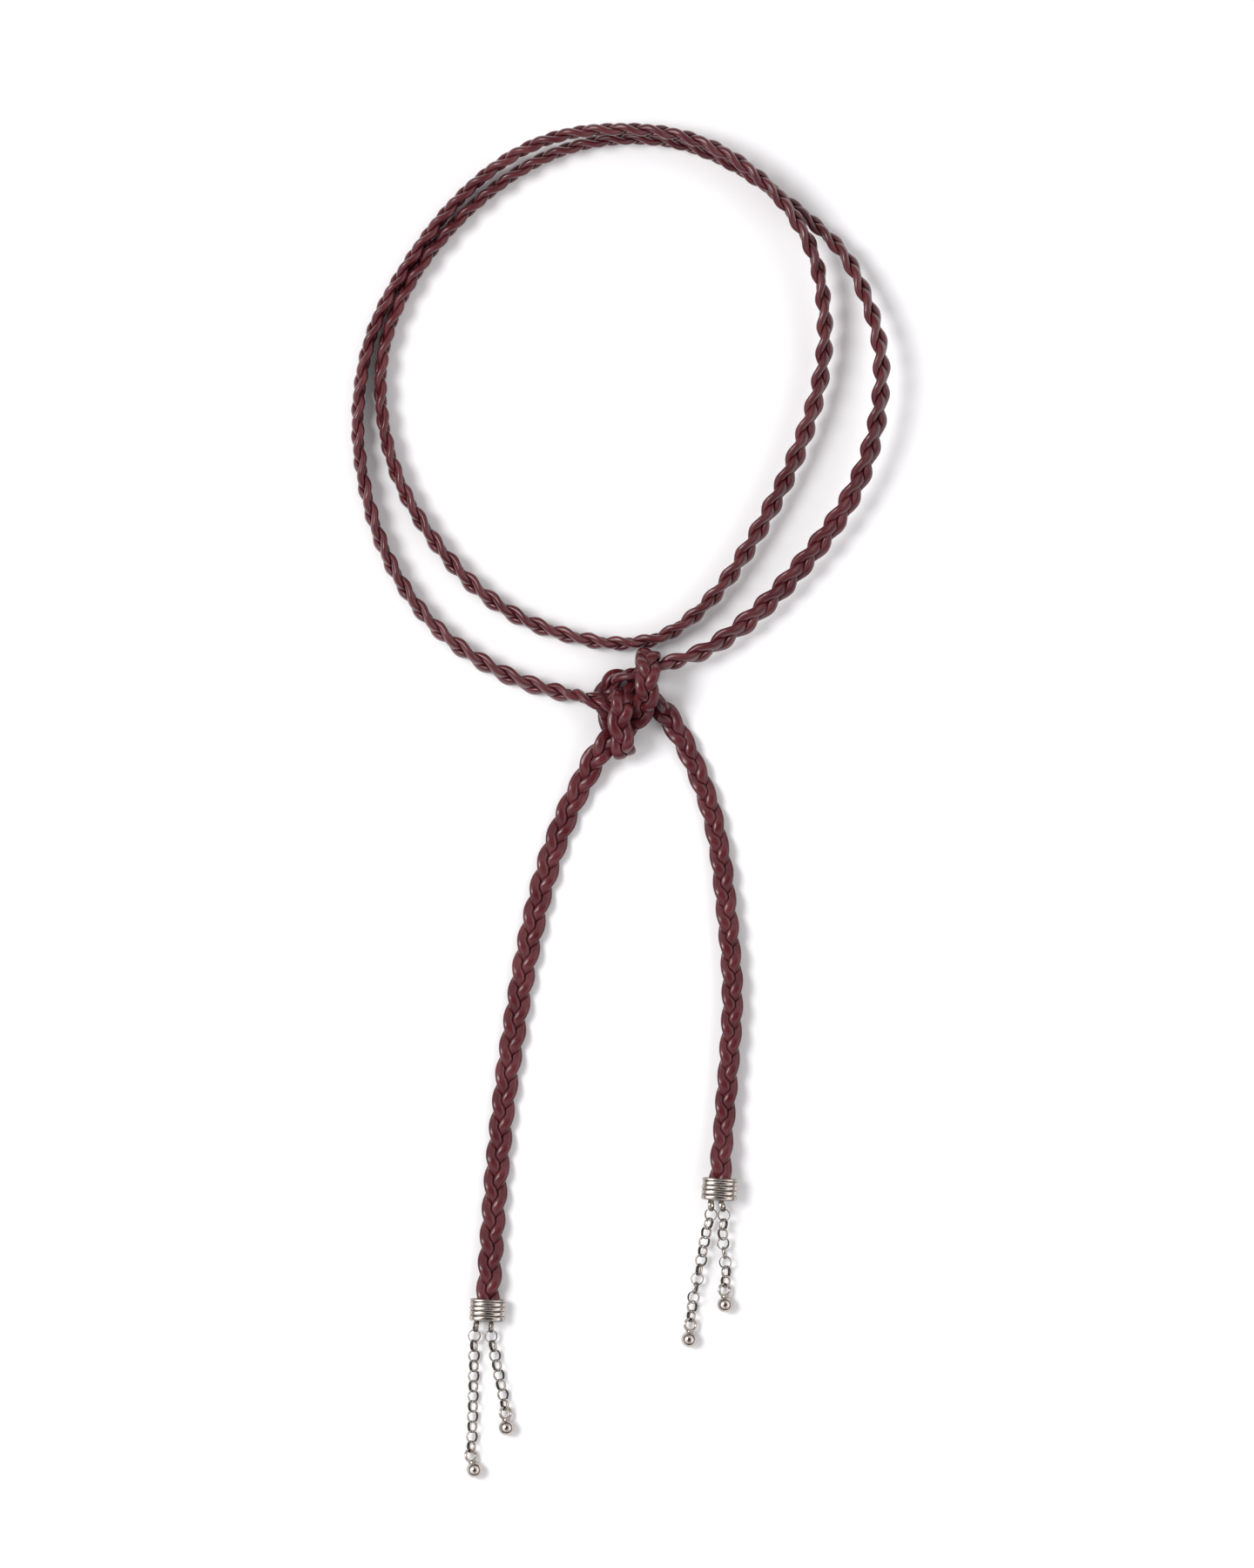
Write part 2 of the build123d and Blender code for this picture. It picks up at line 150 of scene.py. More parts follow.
class Ramp(NamedTuple):
    """The values between which a finish changes, and what it gives at the two."""

    low: float
    high: float
    start: float
    end: float

    def around(self, middle: float) -> "Ramp":
        """The same ramp, with what it gives counted from a middle."""
        return self._replace(start=middle + self.start, end=middle + self.end)


class Bump(NamedTuple):
    """The depth of a relief, in metres, and its strength."""

    depth: float
    strength: float


# What an input of a node is fed
Fed = float | tuple[float, ...] | list[float] | NodeSocket


class Half(Enum):
    """The two halves of the plait, which meet at the foot of the inner loop."""

    OUTER = "outer"
    INNER = "inner"


class Wear(Enum):
    """How much dark tarnish a silver piece keeps in its hollows."""

    DEEP = 0.9
    POLISHED = 0.4


# Sizes that the routes share with the plait and its caps, in millimetres
PLAIT_WIDTH = 7.2
PLAIT_THICKNESS = 3.66
TAIL_WIDTH = 6.3
TAIL_END_WIDTH = 6.8
CAP_FIT = 0.3
CAP_FACE_WALL = 1.05

# The caps hold the plait up by these shares of its thickness, and in a fold it rolls freely
CAP_LIFT = (CAP_FIT + CAP_FACE_WALL) / PLAIT_THICKNESS
RIGHT_CAP_RAISED = 0.4
RAISED_LIFT = CAP_LIFT + RIGHT_CAP_RAISED
FREE = None

# From the left tail through the knot and round the outer loop
OUTER_ROUTE = [
    Stand(-37.8, -145.6, CAP_LIFT, 0),
    Stand(-37.5, -139.6, CAP_LIFT, 0),
    Stand(-36.1, -118.9, 0.07, 0),
    Stand(-33.7, -91.3, 0, 0),
    Stand(-29.6, -61.3, 0, 0),
    Stand(-24.2, -32.7, 0.02, 0),
    Stand(-15.8, -5.4, 0.05, 0),
    Stand(-8.7, 8.9, 0.65, 0),
    Stand(-5.9, 13.8, 1.2, 0),
    Stand(-3, 17, 1.28, 0),
    Stand(0.4, 19.7, 1.22, 0),
    Stand(3.7, 22.6, 1.25, 0),
    Stand(6.3, 25.6, 1.75, 0),
    Stand(7.6, 29.5, 2.9, 0),
    Stand(8, 33.7, 3.5, 0),
    Stand(8.1, 38, 3.32, 0),
    Stand(8.2, 40.9, 2.45, FREE),
    Stand(8.3, 42, 1.6, FREE),
    Stand(8.1, 40.9, 0.75, FREE),
    Stand(7.6, 38.2, 0.12, 180),
    Stand(6.3, 35.3, 0.02, 180),
    Stand(4.4, 32.4, 0.15, 178),
    Stand(2.2, 30.3, 0.96, 175),
    Stand(-0.5, 28.6, 1.6, 162),
    Stand(-3.6, 28.2, 1.55, 144),
    Stand(-6.9, 29, 1.35, 114),
    Stand(-11, 29.9, 0.7, 80),
    Stand(-16.7, 31, 0.15, 67),
    Stand(-28.9, 34.7, 0, 64),
    Stand(-40.4, 40.5, 0, 68),
    Stand(-50.8, 48.1, 0, 72),
    Stand(-59.3, 57.7, 0, 75),
    Stand(-66.6, 70.2, 0, 76),
    Stand(-71.9, 85.4, 0, 78),
    Stand(-74.8, 102.4, 0, 82),
    Stand(-74.2, 119.9, 0, 84),
    Stand(-69.9, 136.7, 0, 84),
    Stand(-61.9, 151.9, 0.05, 84),
    Stand(-50.8, 167.2, 0.2, 84),
    Stand(-35.6, 181.4, 0.8, 84),
    Stand(-18.5, 189.7, 1.9, 84),
    Stand(-1, 192, 2.1, 84),
    Stand(16.7, 190.4, 2.1, 82),
    Stand(33.5, 183.2, 2.1, 78),
    Stand(47.2, 170.6, 2.15, 74),
    Stand(55.7, 155.6, 1.9, 72),
    Stand(58.8, 136.9, 1.3, 68),
    Stand(57.1, 118.5, 1.05, 62),
    Stand(51, 99.9, 0.9, 58),
    Stand(46.5, 89.9, 0.8, 58),
    Stand(35.8, 70.7, 0.6, 64),
    Stand(23.3, 54.9, 0.45, 74),
    Stand(11.4, 46.8, 0.35, 80),
    Stand(3.3, 45.3, 0.3, 80),
]

# Round the inner loop, through the knot and down the right tail
INNER_ROUTE = [
    Stand(-3.7, 45.3, 0.25, 78),
    Stand(-16.9, 48, 0.1, 74),
    Stand(-28.9, 52.7, 0, 70),
    Stand(-41.8, 61.8, 0, 70),
    Stand(-54.1, 76, 0, 74),
    Stand(-63.5, 92.8, 0, 78),
    Stand(-67.8, 109.4, 0, 82),
    Stand(-68, 126.4, 0, 84),
    Stand(-62.7, 143.4, 0, 84),
    Stand(-52.5, 159.3, 0, 84),
    Stand(-37.8, 174.1, 0, 84),
    Stand(-19.9, 185.1, 0, 84),
    Stand(-1.9, 189.6, 0, 84),
    Stand(16.2, 188.6, 0, 84),
    Stand(32.7, 182.1, 0, 82),
    Stand(48.5, 171.4, 0.03, 78),
    Stand(61.8, 159.6, 0.5, 74),
    Stand(67, 152.1, 0.9, 72),
    Stand(73.4, 135.5, 1.7, 68),
    Stand(74.9, 119.4, 2.1, 62),
    Stand(72.1, 101.7, 1.9, 52),
    Stand(64.3, 83.7, 1.5, 42),
    Stand(51.7, 66.8, 1.2, 40),
    Stand(38.7, 53.2, 1.05, 46),
    Stand(26, 43.9, 1, 60),
    Stand(21.3, 41.8, 1.05, 66),
    Stand(17.3, 40.5, 1.08, 70),
    Stand(14.2, 39.5, 1.12, 72),
    Stand(11.4, 38.4, 1.06, 76),
    Stand(8.9, 37.4, 1.04, 80),
    Stand(6.4, 36.9, 1.1, 82),
    Stand(4.2, 36.4, 1.12, 90),
    Stand(1.9, 35.9, 1, 104),
    Stand(-0.6, 35.1, 0.55, 120),
    Stand(-2.9, 33.2, 0.1, 152),
    Stand(-4.1, 30.6, 0, 170),
    Stand(-4, 27.9, 0, 174),
    Stand(-3.3, 25, 0, 180),
    Stand(-2, 22, 0, 180),
    Stand(-1.1, 19.1, 0, 180),
    Stand(0.1, 16.6, 0.06, 180),
    Stand(0.9, 14.6, 0.5, FREE),
    Stand(1.2, 13.8, 1.15, FREE),
    Stand(1.2, 14.8, 1.8, FREE),
    Stand(0.8, 17.7, 2.35, 0),
    Stand(0.2, 20.9, 2.5, 0),
    Stand(0.3, 24.7, 2.85, 0),
    Stand(0.5, 27.6, 3, -4),
    Stand(1.3, 29.3, 2.6, -4),
    Stand(3.1, 31.1, 1.55, 22),
    Stand(6.4, 31.4, 1.02, 70),
    Stand(8.9, 30.3, 0.84, 102),
    Stand(11, 28.2, 0.62, 132),
    Stand(12.9, 25.6, 0.35, 158),
    Stand(14.9, 22.7, 0.08, 174),
    Stand(17.2, 19.2, 0, 180),
    Stand(19.6, 14.5, 0, 180),
    Stand(25, 1.4, 0, 180),
    Stand(28.8, -14.6, 0.15, 180),
    Stand(30.8, -32.1, 0.35, 180),
    Stand(32.4, -53.9, 0.5, 180),
    Stand(31.4, -75.1, 0.52, 180),
    Stand(29.8, -95.1, 0.6, 180),
    Stand(29.2, -103.1, RAISED_LIFT, 180),
    Stand(28.7, -110.9, RAISED_LIFT, 180),
]

# Widths of the plait along the right tail, at stands counted from its end
TAIL_WIDTHS = {-12: PLAIT_WIDTH, -9: TAIL_WIDTH, -3: TAIL_WIDTH, -1: TAIL_END_WIDTH}

# From the eyelet on the cap to the ring of the ball drop
CHAIN_ROUTES = {
    "left_long_chain": ChainRoute(Eyelet(-3.1, 0.6), 14.7, [
        Turn(-41.6, -153.3, 0.3, 14),
        Turn(-41.7, -159.1, 0, 36),
        Turn(-42, -173.1, 0, 41),
        Turn(-42.2, -180.1, 0, 40),
        Turn(-42.6, -187.7, 0, 30),
    ]),
    "left_short_chain": ChainRoute(Eyelet(1.2, 0.6), 3.7, [
        Turn(-36.8, -153.3, 0.3, 12),
        Turn(-35.8, -158.4, 0, 34),
        Turn(-34.6, -164.3, 0, 42),
        Turn(-33.4, -170.1, 0, 40),
        Turn(-32.6, -175.5, 0, 20),
    ]),
    "right_long_chain": ChainRoute(Eyelet(-2.1, 1.9), -5.0, [
        Turn(26.3, -118.3, 1.7, -16),
        Turn(24.9, -123.7, 1.3, -48),
        Turn(23.5, -131.4, 0.6, -58),
        Turn(22.1, -138.1, 0.1, -90),
        Turn(20.8, -145.6, 0, -138),
        Turn(20.4, -150.2, 0, -165),
    ]),
    "right_short_chain": ChainRoute(Eyelet(1.1, 1.9), 2.2, [
        Turn(30, -118.5, 1.7, -14),
        Turn(29.7, -123.5, 1.2, -42),
        Turn(30, -129.1, 0.5, -84),
        Turn(30.6, -134.6, 0, -122),
        Turn(30.2, -140.2, 0, -160),
    ]),
}


def unit(vector: ndarray) -> ndarray:
    """A vector, or each row of several, at length one."""
    return vector / np.linalg.norm(vector, axis=-1, keepdims=True)


def upward(direction: ndarray) -> ndarray:
    """The unit vector square to a direction that points most upward."""
    return unit(UP - direction[2] * direction)


def smooth(knots: ndarray, values: ndarray, at: ndarray) -> ndarray:
    """A natural cubic through the values at the knots, read at the wanted places.

    Args:
        knots: the places of the known values, rising.
        values: one row of values for each knot.
        at: the places to read.

    Returns:
        One row of values for each wanted place.
    """
    count = len(knots)
    gaps = np.diff(knots)
    matrix = np.eye(count)
    right = np.zeros_like(values)
    for i in range(1, count - 1):
        matrix[i, i - 1 : i + 2] = gaps[i - 1], 2 * (gaps[i - 1] + gaps[i]), gaps[i]
        slopes = (values[i + 1] - values[i]) / gaps[i] - (values[i] - values[i - 1]) / gaps[i - 1]
        right[i] = 6 * slopes
    bends = np.linalg.solve(matrix, right)
    span = np.clip(np.searchsorted(knots, at, side="right") - 1, 0, count - 2)
    gap = gaps[span][:, None]
    a = (knots[span + 1] - at)[:, None] / gap
    b = 1 - a
    curve = (a**3 - a) * bends[span] + (b**3 - b) * bends[span + 1]
    return a * values[span] + b * values[span + 1] + curve * gap**2 / 6


def even_line(points: ndarray, step: float) -> tuple[ndarray, ndarray, ndarray]:
    """An evenly stepped smooth line through the points.

    Args:
        points: the points that the line passes, one to a row.
        step: the wanted distance from one place on the line to the next.

    Returns:
        The arc length at each step, the line there and the arc length at each point.
    """
    runs = np.linalg.norm(np.diff(points, axis=0), axis=1)
    knots = np.concatenate([[0], np.cumsum(runs**0.5)])
    fine = np.linspace(0, knots[-1], int(runs.sum() / step * FINER))
    dense = smooth(knots, points, fine)
    length = np.concatenate([[0], np.cumsum(np.linalg.norm(np.diff(dense, axis=0), axis=1))])
    steps = int(round(length[-1] / step))
    at = np.linspace(0, length[-1], steps + 1)
    line = np.stack([np.interp(at, length, dense[:, i]) for i in range(3)], axis=1)
    return at, line, np.interp(knots, fine, length)


def eased(values: ndarray, width: int) -> ndarray:
    """Values along a line, averaged over a soft window.

    Args:
        values: the values.
        width: the number of steps in the window.

    Returns:
        As many values.
    """
    window = np.hanning(width + 2)[1:-1]
    padded = np.concatenate([np.full(width, values[0]), values, np.full(width, values[-1])])
    return np.convolve(padded, window / window.sum(), mode="same")[width:-width]


def wavering(at: ndarray, wave: Waver, lace: int) -> ndarray:
    """A factor near one that wavers slowly along a lace.

    Args:
        at: the arc lengths to read.
        wave: the wave.
        lace: the lace's number, which gives each lace phases of its own.

    Returns:
        The factor at each arc length.
    """
    phases = np.random.default_rng(wave.seed + lace).uniform(0, tau, len(wave.lengths))
    waves = [np.sin(tau * at / length + phase) for length, phase in zip(wave.lengths, phases)]
    return 1 + wave.size * (sum(waves) / len(waves) ** 0.5)


def ring_faces(rows: int, columns: int, closed: bool = True) -> ndarray:
    """The four-cornered faces between rings of points.

    Args:
        rows: the number of rings.
        columns: the number of points in each.
        closed: whether the last ring joins the first.

    Returns:
        The vertex numbers of each face.
    """
    rings = np.arange(rows if closed else rows - 1)
    row, column = np.meshgrid(rings, np.arange(columns), indexing="ij")
    below, after = (row + 1) % rows, (column + 1) % columns
    corners = [row * columns + column, row * columns + after]
    corners += [below * columns + after, below * columns + column]
    return np.stack(corners, axis=-1).reshape(-1, 4)


def tube_faces(rows: int, columns: int) -> list[list[int]]:
    """The faces of a tube of rings.

    Args:
        rows: the number of rings.
        columns: the number of points in each.

    Returns:
        The vertex numbers of each face, the last two of them the tube's ends.
    """
    faces = ring_faces(rows, columns, closed=False).tolist()
    faces.append(list(range(columns - 1, -1, -1)))
    faces.append(list(range((rows - 1) * columns, rows * columns)))
    return faces


def put(name: str, data: bpy.types.ID) -> bpy.types.Object:
    """Put a mesh, lamp or camera into the scene as an object.

    Args:
        name: the object's name.
        data: its mesh, lamp or camera.

    Returns:
        The object.
    """
    made = bpy.data.objects.new(name, data)
    bpy.context.scene.collection.objects.link(made)
    return made


class Piece:
    """A mesh piece while it is being made."""

    def __init__(self, name: str, points: ndarray, faces: list[list[int]]) -> None:
        """Make the piece's mesh, smooth all over.

        Args:
            name: the piece's name.
            points: its vertices.
            faces: its faces, as lists of vertex numbers.
        """
        mesh = bpy.data.meshes.new(name)
        mesh.from_pydata(points.reshape(-1, 3).tolist(), [], faces)
        mesh.polygons.foreach_set("use_smooth", [True] * len(mesh.polygons))
        self.object = put(name, mesh)

    @property
    def mesh(self) -> bpy.types.Mesh:
        """The piece's mesh."""
        return self.object.data

    def shade(self, name: str, values: ndarray) -> None:
        """Keep one number for each vertex under a name that a finish reads."""
        layer = self.mesh.attributes.new(name, "FLOAT", "POINT")
        layer.data.foreach_set("value", np.ascontiguousarray(values, dtype=np.float32).ravel())

    def unroll(self, along: ndarray, across: ndarray) -> None:
        """Map the skin by the distance along and across it.

        Args:
            along: for each vertex, the distance along the piece in metres.
            across: for each vertex, the share of the way around it.
        """
        corners = np.zeros(len(self.mesh.loops), dtype=np.int32)
        self.mesh.loops.foreach_get("vertex_index", corners)
        sizes = np.zeros(len(self.mesh.polygons), dtype=np.int32)
        self.mesh.polygons.foreach_get("loop_total", sizes)
        around = across.ravel()[corners]
        starts = np.repeat(np.concatenate([[0], np.cumsum(sizes)[:-1]]), sizes)
        around = around + np.round(around[starts] - around)
        layer = self.mesh.uv_layers.new(name="skin")
        places = np.stack([along.ravel()[corners], around], axis=1)
        layer.data.foreach_set("uv", places.astype(np.float32).ravel())

    def hand_over(self, material: Material, slot: str, *nodes: str) -> None:
        """Dress the piece, and let it stand for its nodes of the frame.

        Args:
            material: the finish.
            slot: the material slot of the record; not used.
            nodes: the nodes that the piece replaces.
        """
        self.mesh.materials.clear()
        self.mesh.materials.append(material)
        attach(self.object, "root")
        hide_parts(*nodes)
        log.info("%s: %d faces", self.object.name, len(self.mesh.polygons))


class Nodes:
    """Short ways to place and join the nodes of a finish or of the room's light."""

    def __init__(self, owner: Material | World, shader: str = "Principled BSDF") -> None:
        """Take up the nodes.

        Args:
            owner: the material or the world that they belong to.
            shader: the name of its shader.
        """
        owner.use_nodes = True
        self.owner, self.tree = owner, owner.node_tree
        self.shader = self.tree.nodes[shader]

    def feed(self, node: bpy.types.Node, inputs: dict[str | int, Fed]) -> None:
        """Set inputs of a node, or join outputs to them.

        Args:
            node: the node.
            inputs: by the name or number of each input, its value or the output that gives it.
        """
        for key, value in inputs.items():
            if isinstance(value, NodeSocket):
                self.tree.links.new(value, node.inputs[key])
            else:
                node.inputs[key].default_value = value

    def add(
        self, kind: str, inputs: dict[str | int, Fed] | None = None, **settings: str | bool
    ) -> bpy.types.Node:
        """Place a node.

        Args:
            kind: the node's kind.
            inputs: what its inputs are fed.
            settings: its own settings.

        Returns:
            The node.
        """
        node = self.tree.nodes.new(kind)
        for key, value in settings.items():
            setattr(node, key, value)
        self.feed(node, inputs or {})
        return node

    def read(self, name: str) -> NodeSocket:
        """The number that a mesh keeps at each vertex under a name."""
        return self.add("ShaderNodeAttribute", attribute_name=name).outputs["Fac"]

    def grain(self, at: NodeSocket, kind: Grain) -> NodeSocket:
        """Noise read at a place that is stretched first.

        Args:
            at: the coordinates.
            kind: the noise.

        Returns:
            The noise, around one half.
        """
        shift = [kind.seed * share for share in SEED_SPREAD]
        mapping = self.add(
            "ShaderNodeMapping", {"Scale": kind.stretch, "Location": shift, "Vector": at}
        )
        noise = self.add("ShaderNodeTexNoise", {
            "Scale": kind.scale,
            "Detail": kind.detail,
            "Roughness": kind.rough,
            "Vector": mapping.outputs["Vector"],
        })
        return noise.outputs["Fac"]

    def between(self, value: NodeSocket, ramp: Ramp) -> NodeSocket:
        """Carry a value along a ramp, held at both ends.

        Args:
            value: the output that gives the value.
            ramp: the ramp.

        Returns:
            The carried value.
        """
        inputs = dict(zip(("From Min", "From Max", "To Min", "To Max"), ramp))
        node = self.add("ShaderNodeMapRange", {**inputs, "Value": value}, clamp=True)
        return node.outputs["Result"]

    def tint(self, share: NodeSocket, first: Tone | NodeSocket, second: Tone) -> NodeSocket:
        """Mix a second tone over the first by a share.

        Args:
            share: how much of the second shows.
            first: the tone below, or the output that gives it.
            second: the tone above.

        Returns:
            The mixed colour.
        """
        below = (*first, 1) if isinstance(first, Tone) else first
        inputs = {"A": below, "B": (*second, 1), "Factor": share}
        return self.add("ShaderNodeMix", inputs, data_type="RGBA").outputs["Result"]

    def relief(self, layers: list[tuple[NodeSocket, Bump]]) -> None:
        """Lay bumps over one another on the shader's normal.

        Args:
            layers: the height that each bump reads, and the bump.
        """
        below = {}
        for height, bump in layers:
            inputs = {"Distance": bump.depth, "Strength": bump.strength, "Height": height}
            node = self.add("ShaderNodeBump", {**inputs, **below})
            below = {"Normal": node.outputs["Normal"]}
        self.feed(self.shader, below)


@dataclass(frozen=True)
class OiledLeather:
    """Dark burgundy lace leather with a waxed sheen, fine long creases and worn patches.

    Patches and pores lie in space. Fibres and creases run along each lace. Where the laces
    press against one another the colour is darkened as painted shade.
    """

    # The dark of stained fibres, and of the painted shade where the laces press together
    deep: Tone = Tone(0.008, 0.0008, 0.0013)
    body: Tone = Tone(0.078, 0.0073, 0.0112)
    worn: Tone = Tone(0.160, 0.037, 0.042)
    patches: Grain = Grain(90, detail=3, seed=3.1)
    fibres: Grain = Grain(1, (420, 22, 1), detail=5, rough=0.6, seed=1.7)
    creases: Grain = Grain(1, (260, 9, 1), detail=3, rough=0.5, seed=8.3)
    pores: Grain = Grain(3600, detail=2, rough=0.6)
    rubbed: Ramp = Ramp(0.38, 0.66, 0.0, 0.5)
    stained: Ramp = Ramp(0.52, 0.30, 0.0, 0.55)
    # How far pressed places turn to painted shade
    shaded: Ramp = Ramp(0.05, 0.55, 0.0, 0.85)
    gloss: float = 0.22
    gloss_spread: Ramp = Ramp(0.3, 0.7, 0.1, -0.06)
    specular: float = 0.44
    crease_bump: Bump = Bump(0.16 * MM, 0.55)
    fibre_bump: Bump = Bump(0.07 * MM, 0.5)
    pore_bump: Bump = Bump(0.03 * MM, 0.4)

    def material(self) -> Material:
        """Make the leather.

        Returns:
            The material, which reads the laces' skin map and paints shade on their pressed
            places.
        """
        made = Nodes(bpy.data.materials.new("oiled_leather"))
        skin = made.add("ShaderNodeUVMap", uv_map="skin").outputs["UV"]
        room = made.add("ShaderNodeTexCoord").outputs["Object"]
        pressed = made.read("pressed")
        patches = made.grain(room, self.patches)
        fibres = made.grain(skin, self.fibres)
        creases = made.grain(skin, self.creases)
        pores = made.grain(room, self.pores)
        colour = made.tint(made.between(patches, self.rubbed), self.body, self.worn)
        colour = made.tint(made.between(fibres, self.stained), colour, self.deep)
        # Painted shade: darker where a lace is pressed against the other laces
        colour = made.tint(made.between(pressed, self.shaded), colour, self.deep)
        rough = made.between(fibres, self.gloss_spread.around(self.gloss))
        made.feed(made.shader, {
            "Base Color": colour, "Roughness": rough, "Specular IOR Level": self.specular,
        })
        made.relief([
            (creases, self.crease_bump),
            (fibres, self.fibre_bump),
            (pores, self.pore_bump),
        ])
        return made.owner


@dataclass(frozen=True)
class AntiqueSilver:
    """Warm cast silver, bright on its ridges and dark brown where tarnish is left.

    The clouds add their share to the hollows before the tarnish settles there.
    """

    wear: Wear
    bright: Tone = Tone(0.56, 0.50, 0.45)
    dull: Tone = Tone(0.24, 0.205, 0.18)
    tarnish: Tone = Tone(0.030, 0.024, 0.018)
    clouds: Grain = Grain(700, detail=4, seed=5.2)
    scuffs: Grain = Grain(2600, detail=5, rough=0.65)
    dulled: Ramp = Ramp(0.42, 0.68, 0.0, 0.6)
    cloud_share: float = 0.5
    settled: Ramp = Ramp(0.45, 1.1, 0.0, 1.0)
    gloss: float = 0.2
    gloss_spread: Ramp = Ramp(0.3, 0.75, -0.06, 0.14)
    cloud_bump: Bump = Bump(0.05 * MM, 0.35)
    scuff_bump: Bump = Bump(0.012 * MM, 0.35)

    def material(self) -> Material:
        """Make the silver.

        Returns:
            The material, which reads how deep each place lies in a groove.
        """
        made = Nodes(bpy.data.materials.new(f"antique_silver_{self.wear.name.lower()}"))
        room = made.add("ShaderNodeTexCoord").outputs["Object"]
        hollow = made.read("hollow")
        clouds = made.grain(room, self.clouds)
        scuffs = made.grain(room, self.scuffs)
        colour = made.tint(made.between(clouds, self.dulled), self.bright, self.dull)
        inputs = dict(enumerate((clouds, self.cloud_share, hollow)))
        dirt = made.add("ShaderNodeMath", inputs, operation="MULTIPLY_ADD")
        left = made.between(dirt.outputs["Value"], self.settled._replace(end=self.wear.value))
        colour = made.tint(left, colour, self.tarnish)
        rough = made.between(scuffs, self.gloss_spread.around(self.gloss))
        made.feed(made.shader, {"Base Color": colour, "Metallic": 1.0, "Roughness": rough})
        made.relief([(clouds, self.cloud_bump), (scuffs, self.scuff_bump)])
        return made.owner


@dataclass(frozen=True)
class PaleSurface:
    """The plain white surface that the necklace lies on."""

    tone: Tone = Tone(0.96, 0.96, 0.965)
    rough: float = 0.9
    specular: float = 0.1

    def material(self) -> Material:
        """Make the surface's matt finish.

        Returns:
            The material.
        """
        made = Nodes(bpy.data.materials.new("pale_surface"))
        made.feed(made.shader, {
            "Base Color": (*self.tone, 1),
            "Roughness": self.rough,
            "Specular IOR Level": self.specular,
        })
        return made.owner


@dataclass
class PlaitLine:
    """The middle line of the plait, with its tangents, sideways and face directions."""

    at: ndarray
    line: ndarray
    tangent: ndarray
    side: ndarray
    face: ndarray
    reached: ndarray


